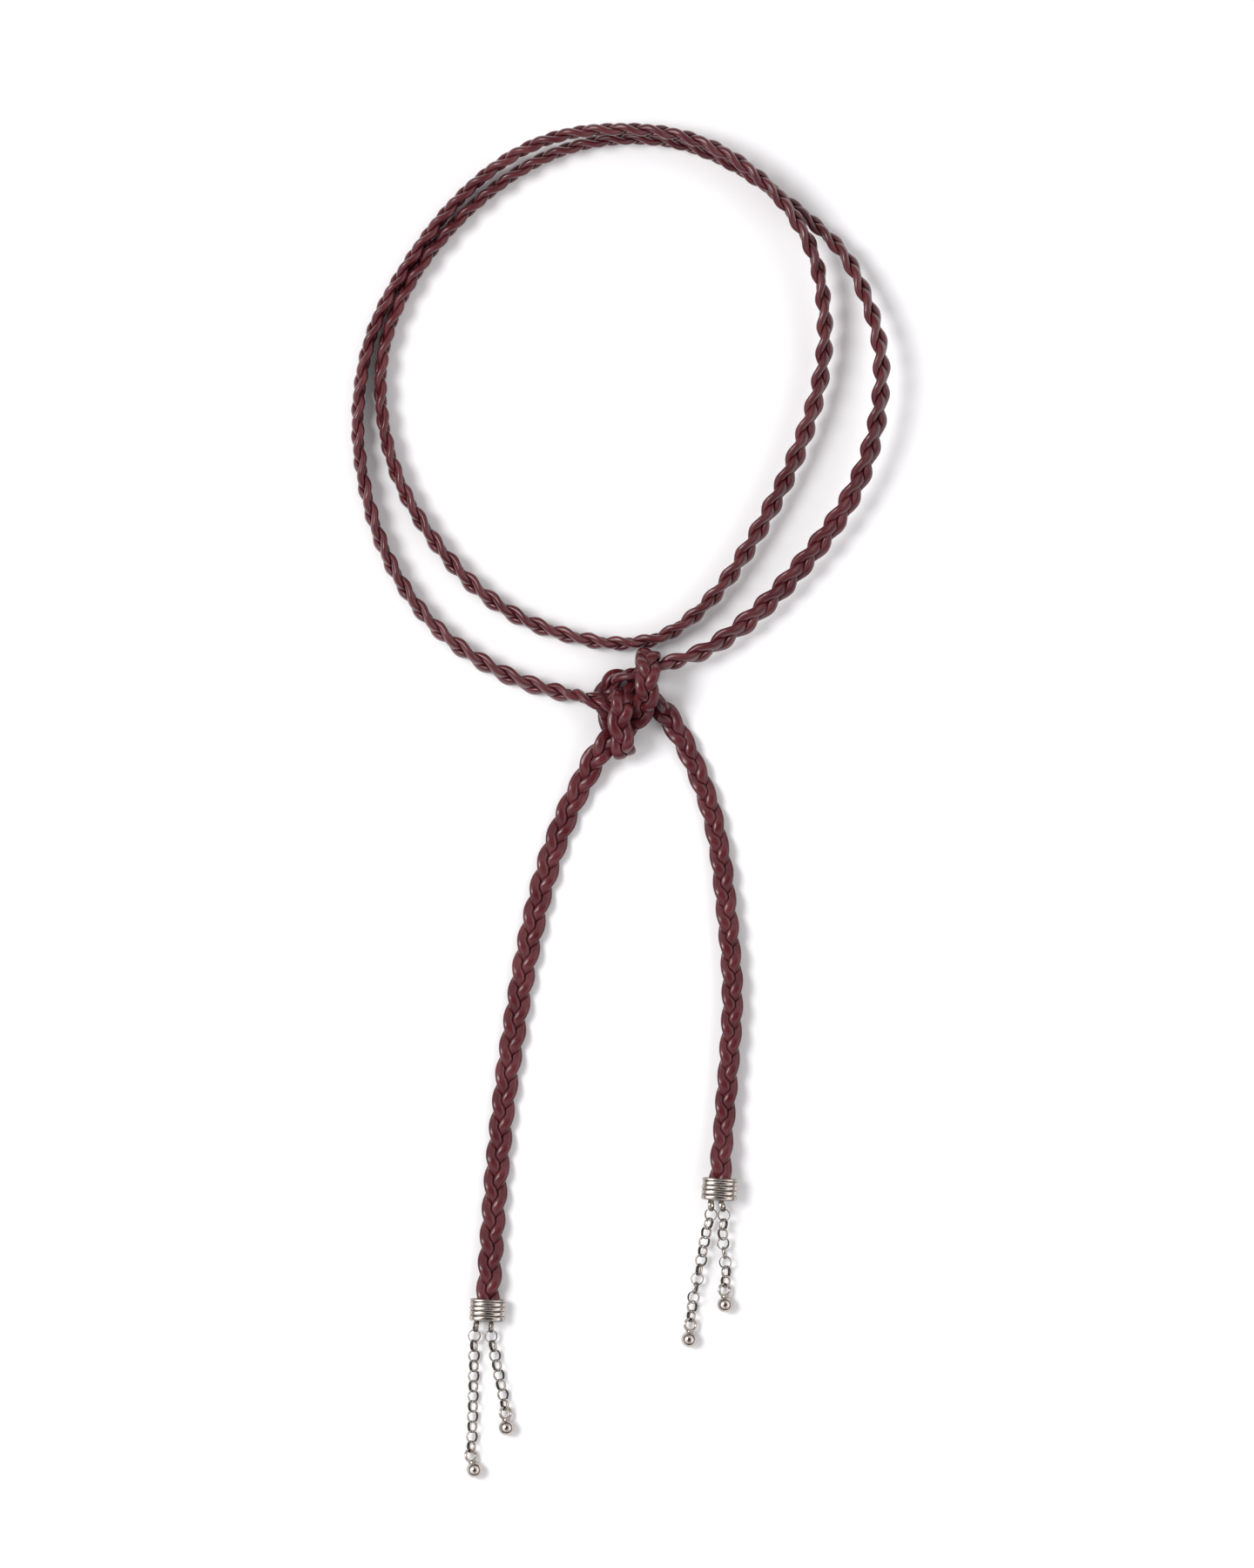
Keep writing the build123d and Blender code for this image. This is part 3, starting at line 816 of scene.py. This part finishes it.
@dataclass
class Plait:
    """Three oval laces worked into one flat plait, which runs from tail to tail."""

    lace_width: float = 3.5 * MM
    lace_thickness: float = 2.1 * MM
    width: float = PLAIT_WIDTH * MM
    thickness: float = PLAIT_THICKNESS * MM
    pitch: float = 23.4 * MM
    gap: float = 0.03 * MM
    fullness: float = 2.6
    softness: float = 9.0
    floor_easing: float = 0.06 * MM
    roll_easing: float = 4.0 * MM
    line_step: float = 0.1 * MM
    skin_step: float = 0.4 * MM
    points_around: int = 30
    looseness: Waver = Waver(0.035, 40, (0.031, 0.047, 0.083))
    plumpness: Waver = Waver(0.02, 60, (0.009, 0.017, 0.029))

    def half_height(self, roll: float | None) -> float:
        """Half the height of the plait's section when its face is rolled from level."""
        angle = radians(roll or 0)
        return hypot(self.width / 2 * sin(angle), self.thickness / 2 * cos(angle))

    def steady_frames(self, tangent: ndarray) -> ndarray:
        """Directions square to the line that turn no more than it does.

        Args:
            tangent: the line's direction at each step.

        Returns:
            One direction for each step.
        """
        steady = np.zeros_like(tangent)
        normal = UP
        for i, direction in enumerate(tangent):
            normal = unit(normal - (normal @ direction) * direction)
            steady[i] = normal
        return steady

    def lay(self) -> PlaitLine:
        """Lay the plait along its stands.

        Returns:
            The plait's line, with the arc length at each stand.
        """
        stands = OUTER_ROUTE + INNER_ROUTE
        lifts = [s.lift * self.thickness + self.half_height(s.roll) for s in stands]
        points = np.array(
            [(s.x * MM, s.y * MM, lift + self.floor_easing) for s, lift in zip(stands, lifts)]
        )
        at, line, reached = even_line(points, self.line_step)
        tangent = unit(np.gradient(line, axis=0))
        steady = self.steady_frames(tangent)
        side = np.cross(tangent, steady)
        places, turns = [], []
        for stand, passed in zip(stands, reached):
            if stand.roll is FREE:
                continue
            i = int(round(passed / at[-1] * (len(at) - 1)))
            up = upward(tangent[i])
            angle = radians(stand.roll)
            face = cos(angle) * up + sin(angle) * np.cross(up, tangent[i])
            turn = degrees(np.arctan2(face @ side[i], face @ steady[i]))
            if turns:
                turn += 360 * round((turns[-1] - turn) / 360)
            places.append(passed)
            turns.append(turn)
        turn = eased(np.interp(at, places, turns), int(self.roll_easing / self.line_step))
        angle = np.radians(turn)[:, None]
        face = np.cos(angle) * steady + np.sin(angle) * side
        return PlaitLine(at, line, tangent, np.cross(face, tangent), face, reached)

    def widths(self, line: PlaitLine, picks: ndarray) -> ndarray:
        """The plait's width at the picked steps; the right tail is drawn tighter."""
        places = [line.reached[stand] for stand in TAIL_WIDTHS]
        return np.interp(line.at[picks], places, [width * MM for width in TAIL_WIDTHS.values()])

    def middles(self, line: PlaitLine, picks: ndarray) -> list[ndarray]:
        """Where each lace's middle lies across the plait.

        Args:
            line: the plait's line.
            picks: the steps of the line to read.

        Returns:
            For each lace, rows of two distances, in half widths and half thicknesses of a lace.
        """
        at = line.at[picks]
        sway = (self.widths(line, picks) - self.lace_width) / self.lace_width
        rise = (self.thickness - self.lace_thickness) / self.lace_thickness
        found = []
        for lace in range(len(LACES)):
            angle = tau * (at / self.pitch + lace / len(LACES))
            across = wavering(at, self.looseness, lace) * sway * np.sin(angle)
            found.append(np.stack([across, rise * np.sin(2 * angle)], axis=1))
        return found

    def skin(self, lace: int, line: PlaitLine, picks: ndarray) -> tuple[ndarray, ndarray]:
        """The skin of one lace, pressed flat where it lies against the other two.

        Args:
            lace: the lace's number.
            line: the plait's line.
            picks: the steps of the line at which the lace has a section.

        Returns:
            The points of each section, and how hard each is pressed, from 0 to 1.
        """
        at = line.at[picks]
        middles = self.middles(line, picks)
        turn = np.linspace(0, tau, self.points_around, endpoint=False)
        spokes = np.stack([np.cos(turn), np.sin(turn)], axis=1)
        full = (np.abs(spokes) ** self.fullness).sum(axis=1) ** (-1 / self.fullness)
        full = full * wavering(at, self.plumpness, lace)[:, None]
        tight = np.zeros_like(full)
        for other in set(range(len(LACES))) - {lace}:
            offset = middles[other] - middles[lace]
            apart = np.linalg.norm(offset, axis=1)[:, None]
            toward = np.maximum(offset @ spokes.T, TINY)
            limit = (apart**2 / 2 - self.gap / self.lace_thickness * apart) / toward
            tight += (full / limit) ** self.softness
        reach = full * (1 + tight) ** (-1 / self.softness)
        across = (middles[lace][:, :1] + reach * spokes[:, 0]) * self.lace_width / 2
        through = (middles[lace][:, 1:] + reach * spokes[:, 1]) * self.lace_thickness / 2
        points = (
            line.line[picks][:, None]
            + across[..., None] * line.side[picks][:, None]
            + through[..., None] * line.face[picks][:, None]
        )
        return points, 1 - reach / full

    def make_lace(self, lace: int, half: Half, line: PlaitLine) -> Piece:
        """Make one half of one lace.

        Args:
            lace: the lace's number.
            half: which half of the plait.
            line: the plait's line.

        Returns:
            The lace, with its skin map and its pressed places.
        """
        middle = line.reached[len(OUTER_ROUTE) - 1]
        start, end = (0, middle) if half is Half.OUTER else (middle, line.at[-1])
        count = int(round((end - start) / self.skin_step)) + 1
        places = np.linspace(start, end, count)
        picks = np.searchsorted(line.at, places).clip(0, len(line.at) - 1)
        points, pressed = self.skin(lace, line, picks)
        around = self.points_around
        name = f"leather_lace_{LACES[lace]}_{half.value}"
        piece = Piece(name, points, tube_faces(count, around))
        for cut in piece.mesh.polygons[-2:]:
            cut.use_smooth = False
        along = np.repeat(line.at[picks][:, None], around, axis=1)
        across = np.repeat(np.arange(around)[None] / around, count, axis=0)
        piece.unroll(along, across + lace)
        # The leather reads how pressed each place is and paints shade there
        piece.shade("pressed", pressed)
        return piece

    def build(self, line: PlaitLine, leather: Material) -> None:
        """Make and dress both halves of all three laces.

        Args:
            line: the plait's line.
            leather: the laces' finish.
        """
        for half in Half:
            for lace, letter in enumerate(LACES):
                piece = self.make_lace(lace, half, line)
                piece.hand_over(leather, "leather", f"plait_lace_{letter}_{half.value}")


def placed(*columns: ndarray) -> Matrix:
    """The matrix of a place from its three axes and its origin."""
    return Matrix([*np.column_stack(columns).tolist(), [0, 0, 0, 1]])


def place(origin: ndarray, along: ndarray, roll: float) -> Matrix:
    """A place whose X runs along a line and whose Z leans from upward.

    Args:
        origin: its origin.
        along: the direction of X.
        roll: how far Z leans from upward, in degrees.

    Returns:
        The matrix of the place.
    """
    up = upward(along)
    normal = cos(radians(roll)) * up + sin(radians(roll)) * np.cross(up, along)
    return placed(along, np.cross(normal, along), normal, origin)


def turned(profile: ndarray, sides: int) -> ndarray:
    """A profile turned about Z.

    Args:
        profile: rows of radius and height.
        sides: the number of points in each ring.

    Returns:
        A ring of points for each row.
    """
    turn = np.linspace(0, tau, sides, endpoint=False)
    radius, height = profile[:, :1], np.repeat(profile[:, 1:], sides, axis=1)
    return np.stack([radius * np.cos(turn), radius * np.sin(turn), height], axis=-1)


def moved(points: ndarray, matrix: Matrix) -> ndarray:
    """Points carried by a matrix."""
    grid = np.array(matrix)
    return points @ grid[:3, :3].T + grid[:3, 3]


@dataclass
class RoloLink:
    """A round link of flat wire with a domed outside."""

    inner: float = 1.62 * MM
    width: float = 0.95 * MM
    wall: float = 0.26 * MM
    edge: float = 0.12 * MM
    easing: float = 0.09
    tarnish: float = 0.95
    dome_points: int = 9
    sides: int = 44

    @property
    def outer(self) -> float:
        """The link's outer radius."""
        return self.inner + self.wall

    def profile(self) -> ndarray:
        """The wire's section, domed outside and with its inner edges eased.

        Returns:
            Rows of radius and height.
        """
        half, ease = self.width / 2, self.width * self.easing
        swing = np.linspace(-pi / 2, pi / 2, self.dome_points)
        dome = np.stack([
            self.inner + self.edge + (self.wall - self.edge) * np.cos(swing),
            half * np.sin(swing),
        ], axis=1)
        inside = [(self.inner + ease, half), (self.inner, half - ease)]
        inside += [(self.inner, -half + ease), (self.inner + ease, -half)]
        return np.concatenate([dome, inside])

    def points(self) -> ndarray:
        """The link's points about its own Z."""
        return turned(self.profile(), self.sides)

    def make(self, name: str, where: Matrix) -> Piece:
        """Make one link.

        Args:
            name: the piece's name.
            where: its place.

        Returns:
            The link, darker towards its inside.
        """
        profile = self.profile()
        points = moved(self.points(), where)
        piece = Piece(name, points, ring_faces(len(profile), self.sides)[:, ::-1].tolist())
        depth = 1 - (profile[:, 0] - self.inner) / self.wall
        piece.shade("hollow", np.repeat(depth * self.tarnish, self.sides))
        return piece


@dataclass
class BallDrop:
    """A small ball with a ring soldered on it by a low collar."""

    link: RoloLink
    diameter: float = 4.5 * MM
    wire: float = 0.85 * MM
    step: float = 2.55 * MM
    ring_clearance: float = 0.2 * MM
    solder_depth: float = 0.15 * MM
    collar_diameter: float = 2.4 * MM
    collar_height: float = 0.5 * MM
    collar_rounding: float = 1 / 3
    collar_top: tuple[float, float] = (0.4, 0.15)
    crevice: float = 0.5 * MM
    crevice_width: float = 0.75
    ring_tarnish: float = 0.4
    foot: float = 0.02
    ball_rows: int = 34
    corner_rows: int = 6
    wire_points: int = 16
    sides: int = 56

    @property
    def ring_middle(self) -> float:
        """The radius of the middle line of a ring that the last link can turn in."""
        inner = hypot(self.step - self.link.inner, self.link.width / 2) + self.ring_clearance
        return inner + self.wire / 2

    @property
    def reach(self) -> float:
        """From the ball's middle to the ring's."""
        return self.diameter / 2 + self.ring_middle + self.wire / 2 - self.solder_depth

    def profile(self) -> ndarray:
        """The ball and its collar.

        Returns:
            Rows of radius and height.
        """
        radius, neck = self.diameter / 2, self.collar_diameter / 2
        meet = np.arccos(neck / radius)
        swing = np.linspace(-pi / 2 + self.foot, meet, self.ball_rows)
        ball = np.stack([radius * np.cos(swing), radius * np.sin(swing)], axis=1)
        top = radius + self.collar_height / 2
        ease = self.collar_height * self.collar_rounding
        corner = np.linspace(0, pi / 2, self.corner_rows)
        collar = np.stack([
            neck - ease + ease * np.cos(corner), top - ease + ease * np.sin(corner),
        ], axis=1)
        inward, up = self.collar_top
        return np.concatenate([ball, collar, [(neck * inward, top + ease * up)]])

    def make(self, name: str, ring: ndarray, lean: float, roll: float) -> Piece:
        """Make the drop under the end of its chain.

        Args:
            name: the piece's name.
            ring: the middle of its ring.
            lean: how far the drop leans from straight down in the picture, in degrees.
            roll: the roll of the ring.

        Returns:
            The drop, with its ball resting on the surface.
        """
        fall = ring[2] - self.diameter / 2
        level = (self.reach**2 - fall**2) ** 0.5
        angle = radians(lean)
        ball = ring + np.array([level * sin(angle), -level * cos(angle), -fall])
        where = place(ball, (ring - ball) / self.reach, -roll)
        profile = self.profile()
        # The ball and the collar are turned about the drop's X, the ring about its Z
        body = turned(profile, self.sides)[..., [2, 0, 1]]
        faces = tube_faces(len(profile), self.sides)
        swing = np.linspace(0, tau, self.wire_points, endpoint=False)
        wire = np.stack([
            self.ring_middle + self.wire / 2 * np.cos(swing), self.wire / 2 * np.sin(swing),
        ], axis=1)
        loop = turned(wire, self.sides) + np.array([self.reach, 0, 0])
        faces += (ring_faces(len(wire), self.sides)[:, ::-1] + body.size // 3).tolist()
        points = np.concatenate([body.reshape(-1, 3), loop.reshape(-1, 3)])
        piece = Piece(name, moved(points, where), faces)
        crevice = np.clip(1 - np.abs(profile[:, 1] - self.diameter / 2) / self.crevice, 0, 1)
        narrow = profile[:, 0] < self.collar_diameter * self.crevice_width
        crevice = np.where(narrow, crevice, 0)
        inward = np.repeat(self.ring_tarnish * (1 - np.cos(swing)), self.sides)
        piece.shade("hollow", np.concatenate([np.repeat(crevice, self.sides), inward]))
        return piece


@dataclass
class EndCap:
    """A flat oval ribbed cap on the plait's end, with an eyelet for each of its chains."""

    plait: Plait
    link: RoloLink
    fit: float = CAP_FIT * MM
    side_wall: float = 1.25 * MM
    face_wall: float = CAP_FACE_WALL * MM
    length: float = 6.3 * MM
    seat: float = 2.9 * MM
    swell: float = 0.35 * MM
    eyelet_sunk: float = 0.3 * MM
    sides: int = 120
    ribs: tuple[Rib, ...] = (
        Rib(0.13, 1.0), Rib(0.20, 0.7), Rib(0.21, 0.9), Rib(0.22, 0.8), Rib(0.24, 1.0),
    )
    rib_points: int = 11
    rib_bulge: tuple[float, float] = (2.6, 0.55)
    rib_reach: float = 0.485
    ripple: float = 0.05 * MM
    ripple_swell: float = 0.06
    ripple_waves: tuple[int, int] = (3, 5)
    ripple_turn: float = 1.7
    ripple_phase: float = 2.3
    ripple_easing: float = 4.0
    closed_end: tuple[EndRing, ...] = (EndRing(0.86, 0.06 * MM), EndRing(0.5, 0.10 * MM))
    pocket_tarnish: float = 1.0
    mouth_tarnish: float = 0.6
    end_tarnish: float = 0.3
    eyelet_tarnish: float = 0.45

    @property
    def width(self) -> float:
        """The cap's whole width."""
        return self.plait.width + 2 * (self.fit + self.side_wall)

    @property
    def thickness(self) -> float:
        """The cap's whole thickness."""
        return self.plait.thickness + 2 * (self.fit + self.face_wall)

    def outline(self, width: float, thickness: float) -> tuple[ndarray, ndarray]:
        """Points round an oval, and the outward direction at each.

        Args:
            width: the oval's width.
            thickness: its thickness.

        Returns:
            The points and the directions, both in two dimensions.
        """
        turn = np.linspace(0, tau, self.sides, endpoint=False)
        points = np.stack([width / 2 * np.cos(turn), thickness / 2 * np.sin(turn)], axis=1)
        outward = np.stack([np.cos(turn) / width, np.sin(turn) / thickness], axis=1)
        return points, unit(outward)

    def rows(self) -> list[tuple[float, float, float]]:
        """The ribs' height along the cap.

        Returns:
            Rows of the distance from the mouth, the swell there and the depth of the groove.
        """
        found, start = [], 0.0
        swing = np.linspace(-1, 1, self.rib_points)
        flatness, roundness = self.rib_bulge
        rise = (1 - np.abs(swing) ** flatness) ** roundness
        for rib in self.ribs:
            length = rib.length * self.length
            for share, up in zip(swing, rise):
                at = start + length / 2 + share * length * self.rib_reach
                found.append((at, up * rib.swell * self.swell, 1 - up))
            start += length
        return found

    def shell(self) -> tuple[ndarray, list[float]]:
        """The cap's wall, from the floor of its pocket round the mouth to the closed end.

        Returns:
            The points of each ring about the plait's end, and how dark each ring is.
        """
        plait, room, ribs = self.plait, 2 * self.fit, 2 * self.swell
        core, outward = self.outline(self.width - ribs, self.thickness - ribs)
        pocket, _ = self.outline(plait.width + room, plait.thickness + room)
        rings = [
            np.column_stack([pocket, np.full(self.sides, at)])
            for at in (self.seat + self.fit, self.fit, 0.0)
        ]
        hollows = [self.pocket_tarnish, self.pocket_tarnish, self.mouth_tarnish]
        turn = np.arange(self.sides) / self.sides * tau
        slow, fast = self.ripple_waves
        for row, (at, rise, groove) in enumerate(self.rows()):
            wave = np.sin(slow * turn + self.ripple_turn * (row // self.rib_points))
            wave = wave + np.sin(fast * turn + self.ripple_phase)
            edge = min(at, self.length - at) / self.length
            shift = self.ripple * wave * min(1.0, self.ripple_easing * edge)
            swollen = core + outward * (rise * (1 + self.ripple_swell * wave[:, None]))
            rings.append(np.column_stack([swollen, at + shift]))
            hollows.append(groove)
        last = rings[-1]
        for share, out in self.closed_end:
            rings.append(last * np.array([share, share, 1]) + np.array([0, 0, out]))
            hollows.append(self.end_tarnish)
        return np.stack(rings) - np.array([0, 0, self.seat]), hollows

    def make(self, name: str, where: Matrix, eyelets: list[Matrix]) -> Piece:
        """Make one cap.

        Args:
            name: the piece's name.
            where: the place across the plait's end, its Z pointing out of the plait.
            eyelets: the places of the eyelets.

        Returns:
            The cap with its eyelets.
        """
        rings, hollows = self.shell()
        faces = tube_faces(len(rings), self.sides)
        points = [moved(rings, where).reshape(-1, 3)]
        hollow = [np.repeat(hollows, self.sides)]
        wire = ring_faces(len(self.link.profile()), self.link.sides)[:, ::-1]
        for eyelet in eyelets:
            faces += (wire + sum(map(len, points))).tolist()
            points.append(moved(self.link.points(), eyelet).reshape(-1, 3))
            hollow.append(np.full(len(points[-1]), self.eyelet_tarnish))
        piece = Piece(name, np.concatenate(points), faces)
        piece.shade("hollow", np.concatenate(hollow))
        return piece


@dataclass
class ChainLine:
    """Where a chain's eyelet, links and drop ring lie, and how each is rolled."""

    spots: ndarray
    places: list[Matrix]
    rolls: ndarray


@dataclass
class Chain:
    """A short chain of round links from an eyelet of a cap to its ball drop."""

    name: str
    route: ChainRoute
    cap: EndCap
    link: RoloLink
    drop: BallDrop
    clearance: float = 0.17 * MM
    line_step: float = 0.05 * MM

    @property
    def taut_pitch(self) -> float:
        """The distance between the middles of two links that are drawn tight."""
        half, tight = self.link.width / 2, self.link.inner - self.clearance
        return (self.link.inner**2 - half**2) ** 0.5 + (tight**2 - half**2) ** 0.5

    def lay(self, end: Matrix) -> ChainLine:
        """Lay the chain along its turns.

        Args:
            end: the place across the plait's end.

        Returns:
            The line, from the eyelet to the drop's ring.
        """
        across, lift = self.route.eyelet
        reach = self.cap.length - self.cap.seat + self.link.outer - self.cap.eyelet_sunk
        eyelet = end @ Vector((across * MM, 0, reach)) / MM
        start = Turn(eyelet.x, eyelet.y, lift, self.route.turns[0].lean)
        route = [start] + self.route.turns
        points = np.array([(t.x, t.y, t.lift + self.link.outer / MM) for t in route]) * MM
        at, line, reached = even_line(points, self.line_step)
        count = ceil((at[-1] - self.drop.step) / self.taut_pitch)
        spacing = (at[-1] - self.drop.step) / count
        stops = np.append(np.arange(count + 1) * spacing, at[-1])
        line[:, 2] = np.maximum(line[:, 2], self.link.outer)
        tangent = unit(np.gradient(line, axis=0))
        leans = np.interp(stops, reached, [turn.lean for turn in route])
        rolls = leans + 90 * (1 - np.arange(len(leans)) % 2)
        picks = np.clip(np.searchsorted(at, stops), 0, len(at) - 1)
        places = [place(line[i], tangent[i], roll) for i, roll in zip(picks, rolls)]
        return ChainLine(line[picks], places, rolls)

    def build(self, laid: ChainLine, silver: dict[str, Material]) -> None:
        """Make and dress the links and the drop.

        Args:
            laid: where they lie.
            silver: the finishes of links and balls.
        """
        for i, where in enumerate(laid.places[1:-1], start=1):
            node = f"{self.name}_link_{i:02d}"
            self.link.make(f"silver_{node}", where).hand_over(silver["link"], "silver", node)
        node, lean = f"{self.name}_ball_drop", self.route.drop_lean
        drop = self.drop.make(f"silver_{node}", laid.spots[-1], lean, laid.rolls[-1])
        drop.hand_over(silver["ball"], "silver", node)


def end_place(origin: ndarray, outward: ndarray) -> Matrix:
    """A place across the plait's end.

    Args:
        origin: the plait's end.
        outward: the direction out of the plait.

    Returns:
        The matrix of the place, its Z pointing out of the plait and its Y up.
    """
    level = unit(np.array([outward[0], outward[1], 0.0]))
    across = np.cross(UP, level)
    return placed(across, np.cross(level, across), level, origin)


@dataclass
class Studio:
    """A white surface seen from straight above, lit softly from the upper left."""

    middle: tuple[float, float] = (2.2 * MM, 4.9 * MM)
    seen_height: float = 0.450
    camera_height: float = 2.5
    film: float = 36.0
    floor_half: float = 4.0
    floor_level: float = -0.02 * MM
    key_from: tuple[float, float, float] = (-0.66, 0.18, 0.92)
    key_distance: float = 1.6
    key_size: float = 0.7
    key_power: float = 15.0
    room_light: float = 0.55
    side_light: float = 1.4
    farthest: float = 20.0
    band: tuple[Glow, ...] = (
        Glow(0.0, 0.10), Glow(0.30, 0.15), Glow(0.48, 1.2),
        Glow(0.80, 1.5), Glow(0.92, 0.3), Glow(1.0, 0.05),
    )
    band_green: float = 0.985

    def lay_floor(self) -> None:
        """Lay the surface."""
        half = self.floor_half
        corners = [(-half, -half), (half, -half), (half, half), (-half, half)]
        mesh = bpy.data.meshes.new("surface")
        mesh.from_pydata([(x, y, self.floor_level) for x, y in corners], [], [[0, 1, 2, 3]])
        mesh.materials.append(PaleSurface().material())
        put("surface", mesh)

    def set_camera(self) -> None:
        """Hang the camera over the picture's middle."""
        data = bpy.data.cameras.new("camera")
        data.sensor_width = self.film
        data.lens = self.film * self.camera_height / self.seen_height
        data.clip_end = self.farthest
        camera = put("camera", data)
        camera.location = (*self.middle, self.camera_height)
        bpy.context.scene.camera = camera

    def hang_key(self) -> None:
        """Hang the soft key lamp at the upper left."""
        data = bpy.data.lights.new("key", "AREA")
        data.shape = "DISK"
        data.size = self.key_size
        data.energy = self.key_power
        lamp = put("key", data)
        way = Vector(self.key_from).normalized()
        lamp.location = way * self.key_distance
        lamp.rotation_mode = "QUATERNION"
        lamp.rotation_quaternion = way.to_track_quat("Z", "Y")

    def fill_room(self) -> None:
        """Light the room from a soft band, strongest left and right and dark overhead."""
        world = bpy.data.worlds.new("room")
        bpy.context.scene.world = world
        made = Nodes(world, "Background")
        way = made.add("ShaderNodeTexCoord").outputs["Generated"]
        split = made.add("ShaderNodeSeparateXYZ", {"Vector": way}).outputs
        ramp = made.add("ShaderNodeValToRGB", {"Fac": split["Z"]})
        elements = ramp.color_ramp.elements
        while len(elements) < len(self.band):
            elements.new(self.band[-1].height)
        for element, (height, light) in zip(elements, self.band):
            element.position = height
            element.color = (light, light * self.band_green, light, 1)
        inputs = {0: split["X"], 1: split["X"]}
        sideways = made.add("ShaderNodeMath", inputs, operation="MULTIPLY").outputs["Value"]
        inputs = {0: sideways, 1: self.side_light, 2: self.room_light}
        strength = made.add("ShaderNodeMath", inputs, operation="MULTIPLY_ADD").outputs["Value"]
        made.feed(made.shader, {"Color": ramp.outputs["Color"], "Strength": strength})

    def build(self) -> None:
        """Set up the surface, the lamps and the camera."""
        self.lay_floor()
        self.hang_key()
        self.fill_room()
        self.set_camera()
        bpy.context.scene.view_settings.view_transform = "Standard"


def main() -> None:
    """Build the studio, the plait, the caps and the chains."""
    logging.basicConfig(level=logging.INFO, format="%(name)s: %(message)s")
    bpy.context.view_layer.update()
    Studio().build()
    plait, link = Plait(), RoloLink()
    drop = BallDrop(link)
    cap = EndCap(plait, link)
    line = plait.lay()
    plait.build(line, OiledLeather().material())
    silver = {
        "link": AntiqueSilver(Wear.DEEP).material(),
        "ball": AntiqueSilver(Wear.POLISHED, gloss=0.12).material(),
    }
    ends = {
        "left": end_place(line.line[0], -line.tangent[0]),
        "right": end_place(line.line[-1], line.tangent[-1]),
    }
    for side, end in ends.items():
        eyelets = []
        for name in (f"{side}_long_chain", f"{side}_short_chain"):
            chain = Chain(name, CHAIN_ROUTES[name], cap, link, drop)
            laid = chain.lay(end)
            eyelets.append(laid.places[0])
            chain.build(laid, silver)
        node = f"{side}_end_cap"
        cap.make(f"silver_{node}", end, eyelets).hand_over(silver["link"], "silver", node)


if __name__ == "__main__":
    main()
